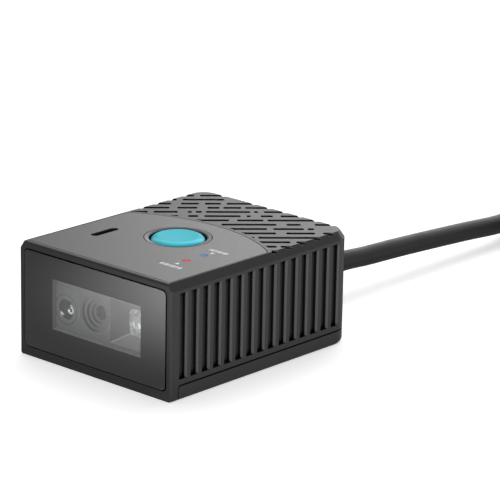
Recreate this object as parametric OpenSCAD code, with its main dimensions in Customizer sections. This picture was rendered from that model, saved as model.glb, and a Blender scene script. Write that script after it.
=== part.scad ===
// Fixed barcode reader with a push button, ribbed side walls and a corded lead.
// Millimetres. The reader looks along -Y, +X is to its right seen from the front, +Z is up.
// The origin is at the middle of the underside.

/* [Housing] */
// Width of the housing
body_w = 50.5; // [46:0.5:60]
// Depth of the housing, from the front frame to the rear wall
body_d = 64.4; // [58.9:0.5:77.9]
// Height of the housing
body_h = 28.7; // [27:0.1:36]
// Thickness of the side and rear walls
wall = 2; // [1.6:0.1:2.4]
// Thickness of the top
top_t = 2; // [1.8:0.1:2.6]
// Width of the bevel along the top's side and rear edges
bevel_w = 1.3; // [0.6:0.1:1.5]
// Height of the bevel along the top's side and rear edges
bevel_h = 1.9; // [0.8:0.1:2.4]
// Radius of the rear upright corners
rear_r = 5.2; // [2.5:0.1:7]
// Radius of the front upright edges
edge_r = 0.5; // [0.2:0.1:1]
// Radius of the side bottom edges
foot_r = 0.5; // [0.3:0.1:2]
// Radius of the rear bottom edge
heel_r = 1.8; // [0.5:0.1:2.6]
// Radius of the front top edge
brow_r = 0.7; // [0.3:0.1:1]

/* [Bottom cover] */
// Height of the cover's side walls
cover_h = 3.3; // [3:0.1:4]
// Thickness of the cover's floor
cover_t = 2; // [1.6:0.1:2.4]
// Width of the seam between housing and cover
seam = 0.4; // [0.1:0.05:0.5]
// Distance of the cover's front edge behind the front frame
cover_inset = 2.9; // [2.6:0.1:3.3]
// Height of the locating lip above the cover's walls
lip_h = 1.6; // [1:0.1:2.2]
// Thickness of the locating lip
lip_t = 1.2; // [0.8:0.1:1.5]

/* [Side ribs] */
// Distance between neighbouring slots
slot_pitch = 3.85; // [3:0.05:5]
// Width of a slot
slot_w = 1.8; // [1:0.1:2.2]
// Depth of a slot
slot_depth = 1.05; // [0.5:0.05:1.2]
// Bevel on the slot's mouth
slot_bevel = 0.45; // [0.1:0.05:0.5]
// Front frame to the first slot
slot_front = 3.3; // [2:0.1:6]
// Last slot to the rear wall, at least
slot_rear = 5.2; // [4.5:0.1:8]
// Height of the slots' lower ends
slot_low = 5; // [4.2:0.1:8]
// Top of the housing to the slots' upper ends
slot_head = 2.7; // [2.5:0.1:6]

/* [Rear top pattern] */
// Distance between neighbouring rows
dash_pitch = 3.67; // [3:0.01:4.5]
// Width of a groove
dash_w = 1.5; // [0.8:0.1:2]
// Depth of a groove
dash_depth = 0.6; // [0.2:0.05:0.8]
// Radius of a groove's corners
dash_r = 0.4; // [0.1:0.05:0.4]
// Plain strip between the top panel and the grooves
dash_margin = 1.1; // [0.5:0.1:3]
// Rear wall to the point on the middle line that the rows are counted from
dash_rear = 3.4; // [1:0.1:5]

/* [Top panel] */
// Thickness of the panel
panel_t = 0.9; // [0.6:0.05:1]
// Gap around the panel
panel_gap = 0.2; // [0.1:0.05:0.3]
// Radius of the rear edge, centred on the front frame
panel_arc_r = 42; // [38:0.5:44]
// Radius of the rear corners
panel_r = 1.4; // [0.5:0.1:3]
// Panel to the side bevel
panel_side = 0.45; // [0.3:0.05:1.5]
// Panel to the front frame
panel_front = 1.4; // [1.2:0.1:3]

/* [Button] */
// Radius of the button
button_r = 6.7; // [5.5:0.1:7]
// Front frame to the middle of the button
button_from_front = 28.6; // [27:0.1:30]
// Height of the button's rim above the top
button_proud = 0.4; // [0.2:0.05:1]
// Travel of the button
button_travel = 0.5; // [0.3:0.05:0.6]
// Radius of the button's rounded edge
button_round = 1.6; // [0.8:0.05:1.8]
// Depth of the hollow in the button's top
button_dish = 0.2; // [0.05:0.01:0.3]
// Gap between the button and its bezel
button_clear = 0.4; // [0.2:0.05:0.5]
// Width of the bezel's sloping ring
bezel_w = 1.1; // [0.8:0.1:1.6]
// Fall of the bezel's ring towards the button
bezel_drop = 0.2; // [0.1:0.05:0.5]
// Thickness of the bezel's sleeve
sleeve_t = 0.5; // [0.4:0.05:0.6]
// Width of the button's retaining flange
flange_w = 1.2; // [0.8:0.1:1.4]
// Thickness of the button's retaining flange
flange_t = 0.8; // [0.6:0.1:0.9]

/* [Lamps and buzzer] */
// Radius of the lamp windows
lamp_r = 0.8; // [0.6:0.05:1.2]
// Lamp windows to the right side of the housing
lamp_side = 10.6; // [8:0.1:12]
// Front frame to the power lamp
power_from_front = 16.1; // [15:0.1:18]
// Front frame to the status lamp
status_from_front = 22.1; // [20:0.1:23]
// Length of the sound slot
sound_l = 8.6; // [5:0.1:9]
// Width of the sound slot
sound_w = 2.1; // [1:0.1:2.6]
// Sound slot to the left side of the housing
sound_side = 9.8; // [9:0.1:11]
// Front frame to the middle of the sound slot
sound_from_front = 19; // [18.4:0.1:20]
// Radius of the buzzer
buzzer_r = 4.5; // [3.5:0.1:4.6]
// Height of the buzzer
buzzer_h = 2.6; // [2:0.1:3]

/* [Front window] */
// Width of the frame's sides
frame_side = 1.4; // [1.2:0.1:2]
// Height of the frame's top rail
frame_top = 1.6; // [1.4:0.1:2.4]
// Height of the frame's bottom rail
frame_bottom = 2.2; // [1.6:0.1:2.8]
// Corner radius of the frame's opening
frame_r = 1.5; // [1:0.1:3]
// Gap around the window
window_gap = 0.3; // [0.1:0.05:0.5]
// Thickness of the window
window_t = 1.5; // [1:0.1:2]
// Height of the window in front of the frame
window_proud = 0.1; // [0:0.05:0.6]
// Width of the clear opening in the mask
aperture_w = 29.6; // [28:0.1:30]
// Height of the clear opening in the mask
aperture_h = 12.7; // [12:0.1:12.8]
// Thickness of the mask
mask_t = 0.15; // [0.1:0.05:0.3]
// Thickness of the seal behind the mask
seal_t = 0.55; // [0.4:0.05:0.8]
// Width of the seal
seal_w = 3.2; // [2:0.1:3.6]
// Thickness of the ledge that carries the window
ledge_t = 1.7; // [1.4:0.1:2.2]

/* [Scan engine] */
// Width of the engine
engine_w = 33; // [32:0.5:34]
// Height of the engine
engine_h = 14.8; // [14.4:0.1:15.6]
// Depth of the recess in the engine's face
engine_recess = 1.7; // [1:0.1:2]
// Depth of the engine behind that recess
engine_l = 7.8; // [7.6:0.1:8.2]
// Thickness of the engine's rim beside the recess
engine_rim = 1.4; // [1:0.1:1.5]
// Optical axis below the window's middle
engine_drop = 0.3; // [0:0.1:0.6]
// Camera lens to the window's middle
lens_off = 2.5; // [2:0.1:3]
// Radius of the camera's lens barrel
barrel_r = 4.6; // [4.2:0.1:4.7]
// Depth of one step in the barrel's mouth
baffle_step = 0.8; // [0.5:0.05:0.85]
// Radius of the illumination lens
lamp_lens_r = 3.5; // [2.8:0.1:3.55]
// Thickness of the illumination lens
lamp_lens_t = 2.3; // [1.5:0.1:2.5]
// Width of the aimer pocket's mouth
pocket_w = 10.1; // [9:0.1:11]
// Height of the aimer pocket's mouth
pocket_h = 11.2; // [10:0.1:11.4]
// Depth of the aimer pocket
pocket_l = 5; // [4:0.1:5.2]
// Width and height of the aimer lens
aimer_w = 7; // [5:0.1:7.4]
// Thickness of the aimer lens
aimer_t = 1.9; // [1.2:0.1:2]
// Solid web between the engine's bores
web = 0.4; // [0.3:0.05:0.6]
// Ear on each side of the engine
ear_w = 4; // [3.6:0.1:4.2]
// Height of an ear
ear_h = 6; // [5:0.5:8]
// Thickness of an ear
ear_t = 1.5; // [1:0.1:1.8]

/* [Boards] */
// Thickness of the circuit boards
board_t = 1; // [0.8:0.1:1.2]
// Depth of the top board
top_board_l = 23.4; // [22:0.1:26]
// Edge of the top board to the side walls
top_board_side = 2.7; // [2.4:0.1:3]
// Room between the buzzer and the top
buzzer_room = 0.7; // [0.4:0.1:1.2]
// Height of the main board's standoffs above the cover's floor
standoff_h = 4; // [3.4:0.1:5]
// Width of the main board
main_board_w = 35; // [32:0.5:36]
// Front frame to the main board
main_board_from_front = 17.3; // [16:0.1:20]
// Main board to the rear wall's inner face
main_board_rear = 6.6; // [6:0.1:9]

/* [Screws] */
// Radius of the screws' shanks
screw_r = 0.9; // [0.7:0.05:1]
// Radius of the screws' heads
screw_head_r = 1.7; // [1.4:0.1:1.9]
// Height of the screws' heads
screw_head_h = 1.2; // [0.8:0.1:1.4]
// Radius of the screw posts
post_r = 2.6; // [2.3:0.1:2.9]
// Posts' middle to the inner side walls
post_side = 2; // [1.6:0.1:2.4]
// Front frame to the front posts' middle
post_front = 10.8; // [10.4:0.1:11.2]
// Rear posts' middle to the rear wall's outer face
post_rear = 5.2; // [4.6:0.1:6]
// Gap around seated pieces
fit = 0.1; // [0.05:0.01:0.15]

/* [Mounting] */
// Distance between the two mounting holes
mount_pitch = 30; // [24:1:32]
// Radius of the threaded bore in a mounting insert
mount_r = 1.5; // [1.2:0.05:1.6]
// Outer radius of a mounting insert
insert_r = 2.2; // [2:0.1:2.4]
// Length of a mounting insert
insert_l = 4; // [3:0.1:4.2]
// Radius of the boss around a mounting insert
insert_boss_r = 3.6; // [3.2:0.1:4]

/* [Lead] */
// Diameter of the lead
cord_d = 5.2; // [4:0.1:5.4]
// Height of the lead's outlet
outlet_z = 9.1; // [8.4:0.1:10]
// Radius of the strain relief's neck in the rear wall
neck_r = 3.8; // [3.2:0.1:4]
// Radius of the strain relief's flanges
relief_flange_r = 4.8; // [4.4:0.1:4.9]
// Thickness of the strain relief's flanges
relief_flange_t = 1.2; // [0.8:0.1:1.6]
// Length of the strain relief's tail
relief_l = 11; // [8:0.5:12]

/* [Hidden] */

$fn = 64;
// Segments of a rounded corner, and of the housing's corners in plan
corner_n = 8;
plan_n = 16;
// Slopes of the flats that make up the bottom rounding
foot_cuts = [22.5, 45, 67.5];
// Thickness of the sheets that a tapered shape spans, and how far it goes past what it trims
sheet = 0.01;
over = 0.1;

// Faces of the housing
hw = body_w / 2;
front_y = (window_proud - body_d) / 2;
rear_y = (window_proud + body_d) / 2;
ceil_z = body_h - top_t;
inner_x = hw - wall;
inner_rear = rear_y - wall;
cover_front = front_y + cover_inset;
housing_low = cover_h + seam;

// Window stack, from the front to the back
open_w = body_w - 2 * frame_side;
open_h = body_h - frame_top - frame_bottom;
open_z = frame_bottom + open_h / 2;
window_face = front_y - window_proud;
window_back = window_face + window_t;
mask_back = window_back + mask_t;
ledge_y = mask_back + seal_t;
inner_front = ledge_y + ledge_t;

// Scan engine
rim_y = mask_back + fit;
plate_y = rim_y + engine_recess;
engine_back = plate_y + engine_l;
axis_z = open_z - engine_drop;
lens_x = -lens_off;
lamp_x = lens_x - barrel_r - lamp_lens_r - 2 * fit - web;
pocket_x = lens_x + barrel_r + fit + 2 * web + pocket_w / 2;
aimer_z = axis_z - 0.7;
ear_x = engine_w / 2 + ear_w / 2;
sensor_w = 4.8;
emitter_w = 3;

// Top of the housing
button_y = front_y + button_from_front;
bezel_in = button_r + button_clear;
bezel_out = bezel_in + bezel_w;
seat_z = body_h - panel_t;
lamp_xs = hw - lamp_side;
power_y = front_y + power_from_front;
status_y = front_y + status_from_front;
sound_x = sound_side - hw;
sound_y = front_y + sound_from_front;
panel_w2 = hw - bevel_w - panel_side;

// Top board, with the switch, the lamps and the buzzer
top_board_z = ceil_z - buzzer_h - buzzer_room;
top_board_front = front_y + post_front + post_r + 0.5;
top_board_w2 = inner_x - top_board_side;
top_screw_xy = [[-top_board_w2 + 2.2, top_board_front + top_board_l - 2.4],
    [top_board_w2 - 2.2, top_board_front + top_board_l - 2.4], [0, top_board_front + 2.4]];
flange_top = ceil_z - 0.3;
flange_low = flange_top - flange_t;
button_low = flange_low;
button_hollow = body_h - 1.3;
switch_w = 6;
switch_h = 1.6;
plunger_r = 1.7;
plunger_top = flange_low + 0.6;
plunger_low = top_board_z + 1;
chip_h = 0.7;

// Main board on the bottom cover
main_board_z = cover_t + standoff_h;
main_board_top = main_board_z + board_t;
main_front = front_y + main_board_from_front;
main_rear = inner_rear - main_board_rear;
standoff_x = main_board_w / 2 - 3;
standoff_ys = [main_front + 3, main_rear - 3];
connector_w = 10;
connector_l = 6;
connector_h = 3.6;
socket_l = 4;
socket_h = 1.6;
ribbon_t = 0.3;

// Screw posts at the housing's corners
post_x = inner_x - post_side;
post_ys = [front_y + post_front, rear_y - post_rear];
screw_seat = cover_t - 0.1;
cover_screw_l = 8;
pilot_r = screw_r + fit;

// Rows of grooves on the rear top, from the front right to the rear left.
// Each groove is [start, end] along its row, counted from a point near the middle of the rear edge.
first_row = -34.3;
dash_rows = [
    [[-1, 5]],
    [[-5, 0.5], [1.5, 8]],
    [[-6, 4], [5.5, 10]],
    [[-5.5, -4.5], [-3.5, 15]],
    [[-10, 1], [3.5, 10.5], [12.5, 19]],
    [[-13, -1], [0.5, 8], [9, 10.5]],
    [[-12, 1.5], [4, 7.5], [11, 18]],
    [[-21, -10], [-8, -1.5], [-0.5, 14]],
    [[-29, -22.5], [-20, -17.5], [-16, -7], [-5.5, -4.5], [-2, 1], [3, 10]],
    [[-38, -30], [-28.5, -22.5], [-20, -19], [-18, -16.5], [-15.5, -4.5], [-3.5, -2.5], [-1, 6]],
    [[-35, -24.5], [-22.5, -17.5], [-15, -12], [-11, -6.5], [-5.5, 3]],
    [[-32, -24], [-21.5, -17], [-15.5, -11.5], [-10, -1]],
    [[-28, -22.5], [-21, -10.5]],
    [[-24, -18], [-16.5, -9]]];

// Route of the lead: from the strain relief to its coil, and from the coil to the plug
coil_x = 12;
coil_y = 170;
coil_r = 25.5;
coil_w = 3 * cord_d;
coil_h = (1 + sqrt(3)) * cord_d;
coil_lift = 0.8;
coil_step = cord_d;
coil_low = coil_lift + cord_d / 2;
coil_top = coil_lift + coil_h;
relief_end = rear_y + relief_flange_t + relief_l;
lead_route = [[0, relief_end, outlet_z], [0, 50, outlet_z], [0, 60, 8.95], [0, 68, 8.4], [0, 80, 7.9],
    [0, 93, 7.2], [0, 110, 6.15], [0, 125, 5.1], [-3, 138, 4.1], [-9, 149, 3.6], [-15.5, 159, coil_low],
    [coil_x - coil_r - coil_step, coil_y, coil_low]];
plug_w = 15.6;
plug_h = 8.4;
plug_l = 26;
plug_neck_l = 9;
plug_neck_r = 3.6;
shell_w = 12;
shell_h = 4.5;
shell_l = 12;
shell_t = 0.35;
shell_root = 3;
plug_x = coil_x + coil_r - coil_step;
plug_y = coil_y + 3;
plug_z = coil_top + plug_h / 2;
tail_route = [[coil_x - 21.6, coil_y - 7.9, coil_top - 2], [coil_x - 23, coil_y, coil_top],
    [coil_x - 21.6, coil_y + 7.9, coil_top + 1.5], [coil_x - 16.3, coil_y + 16.3, coil_top + 1.9],
    [coil_x - 6, coil_y + 22.2, coil_top + 2.1], [coil_x + 6, coil_y + 22.2, coil_top + 2.7],
    [coil_x + 14.5, coil_y + 17.3, coil_top + 3.5], [coil_x + 19.2, coil_y + 11, coil_top + 4],
    [plug_x, coil_y + 6, plug_z], [plug_x, plug_y, plug_z]];

// Points of an outline whose corners [x, y, radius] are rounded
function unit(v) = v / norm(v);
function turn(a) = a > 180 ? a - 360 : a < -180 ? a + 360 : a;
function corner(a, p, b, n) =
    let (q = [p[0], p[1]], u = unit([a[0], a[1]] - q), v = unit([b[0], b[1]] - q))
    let (half = acos(u * v) / 2, c = q + unit(u + v) * p[2] / sin(half))
    let (s = q + u * p[2] / tan(half) - c, e = q + v * p[2] / tan(half) - c)
    let (a0 = atan2(s[1], s[0]), sweep = turn(atan2(e[1], e[0]) - a0))
    p[2] == 0 ? [q] : [for (i = [0:n]) c + p[2] * [cos(a0 + sweep * i / n), sin(a0 + sweep * i / n)]];
function rounded(pts, n = corner_n) =
    let (k = len(pts))
    [for (i = [0:k - 1]) each corner(pts[(i + k - 1) % k], pts[i], pts[(i + 1) % k], n)];
function arc(c, r, a0, a1, n) =
    [for (i = [0:n]) let (a = a0 + (a1 - a0) * i / n) c + r * [cos(a), sin(a)]];

// Outline of the top panel: straight front and sides, a rear edge on one arc and rounded rear corners
function panel_points(grow) =
    let (w = panel_w2 + grow, r = panel_arc_r + grow, c = panel_r + grow)
    let (y = sqrt(pow(r - c, 2) - pow(w - c, 2)), a = atan2(y, w - c), f = [0, front_y])
    concat([[-w, front_y + panel_front - grow], [w, front_y + panel_front - grow]],
        arc(f + [w - c, y], c, 0, a, corner_n), arc(f, r, a, 180 - a, 40),
        arc(f + [c - w, y], c, 180 - a, 180, corner_n));

// Points along a route, and the rings of a tube around it
function spline(r, i, t) =
    let (n = len(r) - 1, a = r[max(i - 1, 0)], b = r[i], c = r[min(i + 1, n)], d = r[min(i + 2, n)])
    0.5 * (2 * b + (c - a) * t + (2 * a - 5 * b + 4 * c - d) * t * t + (3 * b - a - 3 * c + d) * t * t * t);
function route(r, m) = [for (i = [0:len(r) - 2], j = [0:m - 1]) spline(r, i, j / m), r[len(r) - 1]];
function ring(p, d, r, n) =
    let (side = unit(cross(d, [0, 0, 1])), up = cross(side, d))
    [for (i = [0:n - 1]) p + r * (cos(360 * i / n) * side + sin(360 * i / n) * up)];

module tube(points, r, n = 12) {
    k = len(points);
    rings = [for (i = [0:k - 1])
        each ring(points[i], unit(points[min(i + 1, k - 1)] - points[max(i - 1, 0)]), r, n)];
    sides = [for (i = [0:k - 2], j = [0:n - 1])
        [i * n + j, i * n + (j + 1) % n, (i + 1) * n + (j + 1) % n, (i + 1) * n + j]];
    ends = [[for (j = [n - 1:-1:0]) j], [for (j = [0:n - 1]) (k - 1) * n + j]];
    polyhedron(rings, concat(sides, ends), 4);
}

// A profile drawn in X and Z, extruded from y0 to y1
module along_y(y0, y1) {
    translate([0, y1, 0]) rotate([90, 0, 0]) linear_extrude(y1 - y0) children();
}

// A profile drawn in Y and Z, extruded from x0 to x1
module along_x(x0, x1) {
    translate([x0, 0, 0]) rotate([90, 0, 90]) linear_extrude(x1 - x0) children();
}

// A cylinder along +Y
module rod_y(r, l) {
    rotate([-90, 0, 0]) cylinder(r = r, h = l);
}

module round_rect(w, h, r) {
    polygon(rounded([[-w / 2, -h / 2, r], [w / 2, -h / 2, r], [w / 2, h / 2, r], [-w / 2, h / 2, r]]));
}

// A block centred in X and Y that stands on z = 0
module block(w, l, h) {
    translate([-w / 2, -l / 2, 0]) cube([w, l, h]);
}

module mirror_x() {
    children();
    mirror([1, 0, 0]) children();
}

// A pan-head screw whose head stands on z = 0 and whose shank hangs below
module screw(l) {
    cylinder(r = screw_head_r, h = screw_head_h);
    translate([0, 0, -l]) cylinder(r = screw_r, h = l);
}

// Plan of the reader, drawn in by d at its sides and its rear, and by back more at its rear
module plan_shape(d, back = 0) {
    y = rear_y - d - back;
    polygon(rounded([[d - hw, front_y, edge_r], [hw - d, front_y, edge_r],
        [hw - d, y, rear_r - d], [d - hw, y, rear_r - d]], plan_n));
}

// The plan drawn in by d0 at height z0 and by d1 at height z1, and all between the two
module tapered(z0, d0, z1, d1, back = 0) {
    hull() {
        translate([0, 0, z0]) linear_extrude(sheet) plan_shape(d0, back);
        translate([0, 0, z1 - sheet]) linear_extrude(sheet) plan_shape(d1, back);
    }
}

// Plan of the room inside, from y to the rear wall
module room_shape(y) {
    r = max(rear_r - wall, 0.5);
    polygon(rounded([[-inner_x, y, 0.3], [inner_x, y, 0.3], [inner_x, inner_rear, r],
        [-inner_x, inner_rear, r]]));
}

// Outer shape of the reader: its plan, the bevel and the bottom rounding round it, and a side outline
module shaped_block() {
    slope = bevel_w / bevel_h;
    intersection() {
        linear_extrude(body_h) plan_shape(0);
        tapered(-over, -slope * (body_h - bevel_h + over), body_h + over, slope * (bevel_h + over));
        intersection_for (a = foot_cuts) {
            d = foot_r * (1 - cos(a));
            z = foot_r * (1 - sin(a));
            back = (heel_r - foot_r) * (1 - cos(a) + (1 - sin(a)) * tan(a));
            tapered(-over, d + (z + over) * tan(a), body_h + over, d + (z - body_h - over) * tan(a), back);
        }
        along_x(-hw, hw) children();
    }
}

// Upper moulding
module rib_slots() {
    room = body_d - slot_front - slot_rear - slot_w;
    high = body_h - slot_head - slot_low;
    half = slot_w / 2;
    mouth = half + slot_bevel + 0.1;
    for (i = [0:floor(room / slot_pitch)])
        translate([hw, front_y + slot_front + half + i * slot_pitch, slot_low])
            linear_extrude(high)
                polygon([[-slot_depth, -half], [-slot_bevel, -half], [0.1, -mouth], [0.1, mouth],
                    [-slot_bevel, half], [-slot_depth, half]]);
}

module rear_grooves() {
    translate([0, 0, body_h - dash_depth]) linear_extrude(dash_depth + 1) difference() {
        translate([0, rear_y - dash_rear]) rotate(45)
            for (i = [0:len(dash_rows) - 1], d = dash_rows[i])
                translate([(d[0] + d[1]) / 2, first_row + i * dash_pitch])
                    round_rect(d[1] - d[0], dash_w, dash_r);
        translate([0, front_y]) circle(r = panel_arc_r + dash_margin, $fn = 96);
    }
}

module sound_shape() {
    translate([sound_x, sound_y]) round_rect(sound_w, sound_l, sound_w / 2 - 0.01);
}

module housing_shell() {
    difference() {
        shaped_block() polygon(rounded([[front_y, 0, 0], [cover_front - seam, 0, 0],
            [cover_front - seam, housing_low, 0.8], [rear_y, housing_low, 0], [rear_y, body_h, 0],
            [front_y, body_h, brow_r]]));
        translate([0, 0, -1]) linear_extrude(ceil_z + 1) room_shape(inner_front);
        along_y(front_y - 1, ledge_y) translate([0, open_z]) round_rect(open_w, open_h, frame_r);
        along_y(ledge_y - 1, inner_front + 1) translate([0, open_z])
            round_rect(engine_w + 1, engine_h + 1, 1);
        mirror_x() rib_slots();
        rear_grooves();
        translate([0, 0, seat_z]) linear_extrude(panel_t + 1) polygon(panel_points(panel_gap));
    }
}

module main_housing() {
    color("#26272a") difference() {
        union() {
            housing_shell();
            mirror_x() for (y = post_ys)
                translate([post_x, y, cover_h]) cylinder(r = post_r, h = ceil_z - cover_h + 0.5);
            for (p = top_screw_xy)
                translate([p[0], p[1], top_board_z]) cylinder(r = 2, h = ceil_z - top_board_z + 0.5);
        }
        mirror_x() for (y = post_ys)
            translate([post_x, y, 0]) cylinder(r = pilot_r, h = screw_seat + cover_screw_l + 1);
        for (p = top_screw_xy)
            translate([p[0], p[1], top_board_z - 1]) cylinder(r = pilot_r, h = 3.4);
        mirror_x() translate([ear_x, inner_front - 1.2, open_z]) rod_y(pilot_r, 3);
        translate([0, button_y, ceil_z - 1]) cylinder(r = bezel_in + sleeve_t + fit, h = top_t + 2);
        for (y = [power_y, status_y])
            translate([lamp_xs, y, ceil_z - 1]) cylinder(r = lamp_r + fit, h = top_t + 2);
        translate([0, 0, ceil_z - 1]) linear_extrude(top_t + 2) sound_shape();
        translate([0, inner_rear - 1, outlet_z]) rod_y(neck_r + fit, wall + 2);
    }
}

// Lower moulding
module bottom_cover() {
    inner_y = cover_front + wall;
    color("#232427") difference() {
        union() {
            difference() {
                shaped_block() polygon(rounded([[cover_front, 0, 0], [rear_y, 0, 0],
                    [rear_y, cover_h, 0], [cover_front, cover_h, 0.6]]));
                translate([0, 0, cover_t]) linear_extrude(cover_h) room_shape(inner_y);
            }
            mirror_x() difference() {
                translate([inner_x - fit - lip_t, post_ys[0], cover_t - 0.5])
                    cube([lip_t, post_ys[1] - post_ys[0], cover_h + lip_h - cover_t + 0.5]);
                for (y = post_ys)
                    translate([post_x, y, cover_h]) cylinder(r = post_r + 0.4, h = lip_h + 2);
            }
            mirror_x() for (y = post_ys)
                translate([post_x, y, cover_t - 0.5]) intersection() {
                    cylinder(r = post_r, h = cover_h - cover_t + 0.5);
                    translate([-post_r, -post_r, 0]) cube([post_r + post_side + 0.5, 2 * post_r, cover_h]);
                }
            mirror_x() for (y = standoff_ys)
                translate([standoff_x, y, cover_t - 0.5]) cylinder(r = 2.3, h = standoff_h + 0.5);
            mirror_x() translate([mount_pitch / 2, 0, cover_t - 0.5])
                cylinder(r = insert_boss_r, h = insert_l + 0.8 - cover_t + 0.5);
        }
        mirror_x() for (y = post_ys) translate([post_x, y, 0]) {
            translate([0, 0, -1]) cylinder(r = screw_head_r + 2 * fit, h = screw_seat + 1);
            cylinder(r = pilot_r, h = cover_h + 1);
        }
        mirror_x() for (y = standoff_ys)
            translate([standoff_x, y, cover_t]) cylinder(r = pilot_r, h = standoff_h + 1);
        mirror_x() translate([mount_pitch / 2, 0, -1]) cylinder(r = insert_r + fit, h = insert_l + 1 + fit);
    }
}

// Smooth panel let into the top
module top_panel() {
    color("#2c2d30") difference() {
        translate([0, 0, seat_z]) linear_extrude(panel_t) polygon(panel_points(0));
        translate([0, button_y, seat_z - 1]) cylinder(r = bezel_out + panel_gap, h = panel_t + 2);
        for (y = [power_y, status_y])
            translate([lamp_xs, y, seat_z - 1]) cylinder(r = lamp_r + fit, h = panel_t + 2);
        translate([0, 0, seat_z - 1]) linear_extrude(panel_t + 2) sound_shape();
    }
}

// Ring that guides the button
module button_bezel() {
    color("#34353a") translate([0, button_y, 0]) rotate_extrude()
        polygon([[bezel_in, ceil_z], [bezel_in + sleeve_t, ceil_z], [bezel_in + sleeve_t, seat_z],
            [bezel_out, seat_z], [bezel_out, body_h], [bezel_in, body_h - bezel_drop]]);
}

// Hollowed cap with a rounded shoulder, a retaining flange and a stem
module trigger_button() {
    rim_z = body_h + button_proud;
    rim_r = button_r - button_round;
    stem_r = plunger_r + 0.5;
    color("#52bfd0") translate([0, button_y, 0]) rotate_extrude() polygon(concat(
        [[0, plunger_top], [stem_r, plunger_top], [stem_r, button_hollow], [button_r - 1, button_hollow],
            [button_r - 1, button_low], [button_r + flange_w, button_low],
            [button_r + flange_w, flange_top], [button_r, flange_top]],
        arc([rim_r, rim_z - button_round], button_round, 0, 90, corner_n),
        [for (k = [0.9, 0.75, 0.6, 0.4, 0.2, 0]) [rim_r * k, rim_z - button_dish * (1 - k * k)]]));
}

module switch_plunger() {
    color("#d8d4c8") translate([0, button_y, plunger_low])
        cylinder(r = plunger_r, h = plunger_top - plunger_low);
}

module tact_switch() {
    color("#3a3a3c") translate([0, button_y, top_board_z]) difference() {
        block(switch_w, switch_w, switch_h);
        translate([0, 0, 0.3]) cylinder(r = plunger_r + fit, h = switch_h);
    }
}

// Light pipe from a lamp up to the panel's face
module light_pipe(y) {
    pipe_low = top_board_z + chip_h + 0.2;
    translate([lamp_xs, y, pipe_low]) cylinder(r = lamp_r, h = body_h - pipe_low);
    translate([lamp_xs, y, ceil_z - 0.8]) cylinder(r = lamp_r + 0.6, h = 0.8);
}

module power_light_pipe() {
    color("#e8403c") light_pipe(power_y);
}

module status_light_pipe() {
    color("#4d7ad0") light_pipe(status_y);
}

module indicator_leds() {
    color("#f0ead8") for (y = [power_y, status_y])
        translate([lamp_xs, y, top_board_z]) block(1.6, 1.2, chip_h);
}

module buzzer() {
    color("#1a1a1c") translate([sound_x, sound_y, top_board_z]) difference() {
        cylinder(r = buzzer_r, h = buzzer_h);
        translate([0, 0, buzzer_h - 0.8]) cylinder(r = 0.9, h = 1);
    }
}

module top_board() {
    color("#1d5c3a") difference() {
        translate([-top_board_w2, top_board_front, top_board_z - board_t])
            cube([2 * top_board_w2, top_board_l, board_t]);
        for (p = top_screw_xy)
            translate([p[0], p[1], top_board_z - board_t - 1]) cylinder(r = pilot_r, h = board_t + 2);
    }
}

module top_board_screws() {
    color("silver") for (p = top_screw_xy)
        translate([p[0], p[1], top_board_z - board_t]) mirror([0, 0, 1]) screw(board_t + 2);
}

// Front window, its printed mask and its seal
module front_window() {
    color([0.25, 0.27, 0.28, 0.5]) along_y(window_face, window_back) translate([0, open_z])
        round_rect(open_w - 2 * window_gap, open_h - 2 * window_gap, frame_r - window_gap);
}

module window_mask() {
    color("#0c0c0d") along_y(window_back, mask_back) translate([0, open_z]) difference() {
        round_rect(open_w - 2 * window_gap, open_h - 2 * window_gap, frame_r - window_gap);
        square([aperture_w, aperture_h], center = true);
    }
}

module window_seal() {
    w = open_w - 2 * window_gap;
    h = open_h - 2 * window_gap;
    color("#161617") along_y(mask_back, ledge_y) translate([0, open_z]) difference() {
        round_rect(w, h, frame_r - window_gap);
        round_rect(w - 2 * seal_w, h - 2 * seal_w, 1);
    }
}

// Scan engine: face moulding with the illumination seat, the camera bore and the tapered aimer pocket
module pocket_shape() {
    hull() {
        translate([pocket_x, plate_y - 0.1, axis_z]) rotate([90, 0, 0])
            linear_extrude(0.01) square([pocket_w, pocket_h], center = true);
        translate([pocket_x, plate_y + pocket_l, aimer_z]) rotate([90, 0, 0])
            linear_extrude(0.01) square([aimer_w + 0.2, aimer_w + 0.2], center = true);
    }
}

module engine_shroud() {
    color("#a8aaa8") difference() {
        union() {
            along_y(rim_y, engine_back) translate([0, open_z]) round_rect(engine_w, engine_h, 0.8);
            mirror_x() translate([engine_w / 2 - 0.5, inner_front, open_z - ear_h / 2])
                cube([ear_w + 0.5, ear_t, ear_h]);
        }
        along_y(rim_y - 1, plate_y) translate([0, open_z])
            round_rect(engine_w - 2 * engine_rim, aperture_h + 0.3, 0.4);
        translate([lens_x, plate_y - 1, axis_z]) rod_y(barrel_r + fit, engine_l + 2);
        translate([lamp_x, plate_y - 1, axis_z]) rod_y(lamp_lens_r + fit, lamp_lens_t + fit + 1);
        translate([lamp_x, plate_y + lamp_lens_t, axis_z]) rotate([-90, 0, 0])
            cylinder(r1 = lamp_lens_r - 0.3, r2 = emitter_w / 2 + 0.2, h = engine_l - 1.2 - lamp_lens_t);
        translate([lamp_x - emitter_w / 2 - 0.3, engine_back - 1.4, axis_z - emitter_w / 2 - 0.3])
            cube([emitter_w + 0.6, 2, emitter_w + 0.6]);
        pocket_shape();
        translate([pocket_x - aimer_w / 2 - fit, plate_y + pocket_l - 0.2, aimer_z - aimer_w / 2 - fit])
            cube([aimer_w + 2 * fit, aimer_t + 0.2, aimer_w + 2 * fit]);
        translate([pocket_x - 2, engine_back - 3, aimer_z - 2]) cube([4, 4, 4]);
        mirror_x() translate([ear_x, inner_front - 1, open_z]) rod_y(pilot_r, ear_t + 2);
    }
}

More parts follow.
